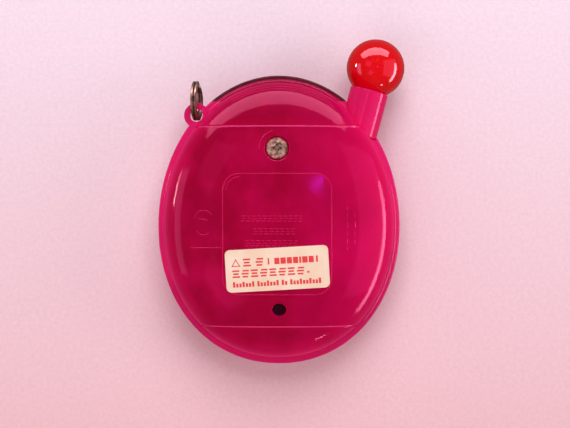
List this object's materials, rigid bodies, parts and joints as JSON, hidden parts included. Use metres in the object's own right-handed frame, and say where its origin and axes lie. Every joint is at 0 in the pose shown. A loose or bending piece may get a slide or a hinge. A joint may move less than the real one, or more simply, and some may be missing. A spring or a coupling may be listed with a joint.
{
  "type": "virtual pet keychain",
  "caption": "Egg-shaped pocket virtual pet with a screen and buttons in front, a screwed battery door behind, a ball-tipped antenna and a split ring.",
  "frame": {"origin": "under the middle of the whole toy's box, on the plane the screen bezel rests on", "axes": "+Z out of the back, +Y towards the top where the antenna and ring are, +X towards the antenna's side seen from behind"},
  "size_m": [0.0494, 0.065, 0.0201],
  "materials": {
    "shell_pink": "clear magenta, glossy",
    "stub_pink": "glossy",
    "ball_red": "high gloss",
    "smoke": "smoked clear, glossy",
    "pale_pink": "glossy",
    "clear": "clear",
    "lcd_glass": "polarised",
    "steel": "satin",
    "aged_steel": "worn",
    "brass": "satin",
    "board_green": "solder mask",
    "black": "satin",
    "rubber": "matte",
    "white_plastic": "satin",
    "sticker_paper": "printed",
    "red_sleeve": "satin",
    "button_red": "glossy"
  },
  "bodies": {
    "case": {"front_shell": "shell_pink", "back_shell": "shell_pink", "ir_window": "smoke", "antenna_stub": "stub_pink", "antenna_ball": "ball_red", "door_nut": "brass", "case_screw_1": "steel", "case_screw_2": "steel", "case_screw_3": "steel", "case_screw_4": "steel", "board_screw_1": "steel", "board_screw_2": "steel", "board_screw_3": "steel", "screen_bezel": "pale_pink", "screen_lens": "clear", "screen_mask": "pale_pink", "lcd_panel": "lcd_glass", "lcd_frame": "white_plastic", "zebra_strip_top": "rubber", "zebra_strip_bottom": "rubber", "main_board": "board_green", "chip_blob": "black", "crystal": "steel", "capacitor": "black", "reset_switch": "steel", "ir_emitter": "clear", "ir_receiver": "black", "buzzer_disc": "brass", "coin_cell": "steel", "contact_plus": "steel", "contact_minus": "steel", "wire_plus": "red_sleeve", "wire_minus": "black", "rubber_dome_left": "rubber", "rubber_dome_middle": "rubber", "rubber_dome_right": "rubber"},
    "battery_door": {"battery_door": "shell_pink", "back_sticker": "sticker_paper"},
    "screw_retainer": {"screw_retainer": "white_plastic"},
    "door_screw": {"door_screw": "aged_steel"},
    "button_left": {"button_left": "button_red"},
    "button_middle": {"button_middle": "button_red"},
    "button_right": {"button_right": "button_red"},
    "reset_plunger": {"reset_plunger": "black"},
    "key_ring": {"key_ring": "aged_steel"}
  },
  "joints": [
    {"name": "battery_door_lift", "type": "slide", "parent": "case", "child": "battery_door", "axis": [0, 0, 1], "range_m": [0, 0.015]},
    {"name": "door_screw_rise", "type": "slide", "parent": "battery_door", "child": "screw_retainer", "axis": [0, 0, 1], "range_m": [0, 0.0025]},
    {"name": "door_screw_turn", "type": "hinge", "parent": "screw_retainer", "child": "door_screw", "pos_m": [-0.00088, 0.01032, 0.018], "axis": [0, 0, 1], "range_deg": [0, 2250]},
    {"name": "button_left_press", "type": "slide", "parent": "case", "child": "button_left", "axis": [0, 0, 1], "range_m": [0, 0.0008], "stiffness_N_per_m": 400, "springref_m": -0.0005, "deforming": ["rubber_dome_left"]},
    {"name": "button_middle_press", "type": "slide", "parent": "case", "child": "button_middle", "axis": [0, 0, 1], "range_m": [0, 0.0008], "stiffness_N_per_m": 400, "springref_m": -0.0005, "deforming": ["rubber_dome_middle"]},
    {"name": "button_right_press", "type": "slide", "parent": "case", "child": "button_right", "axis": [0, 0, 1], "range_m": [0, 0.0008], "stiffness_N_per_m": 400, "springref_m": -0.0005, "deforming": ["rubber_dome_right"]},
    {"name": "reset_plunger_press", "type": "slide", "parent": "case", "child": "reset_plunger", "axis": [0, 0, -1], "range_m": [0, 0.00025], "stiffness_N_per_m": 400, "springref_m": -0.0003},
    {"name": "key_ring_swing", "type": "hinge", "parent": "case", "child": "key_ring", "pos_m": [-0.01707, 0.01902, 0.0092], "axis": [0.9903, 0, 0.1392], "range_deg": [-35, 35]}
  ],
  "couplings": [
    {"joint": "door_screw_turn", "follows": "door_screw_rise", "rad_per_m": 15707}
  ]
}
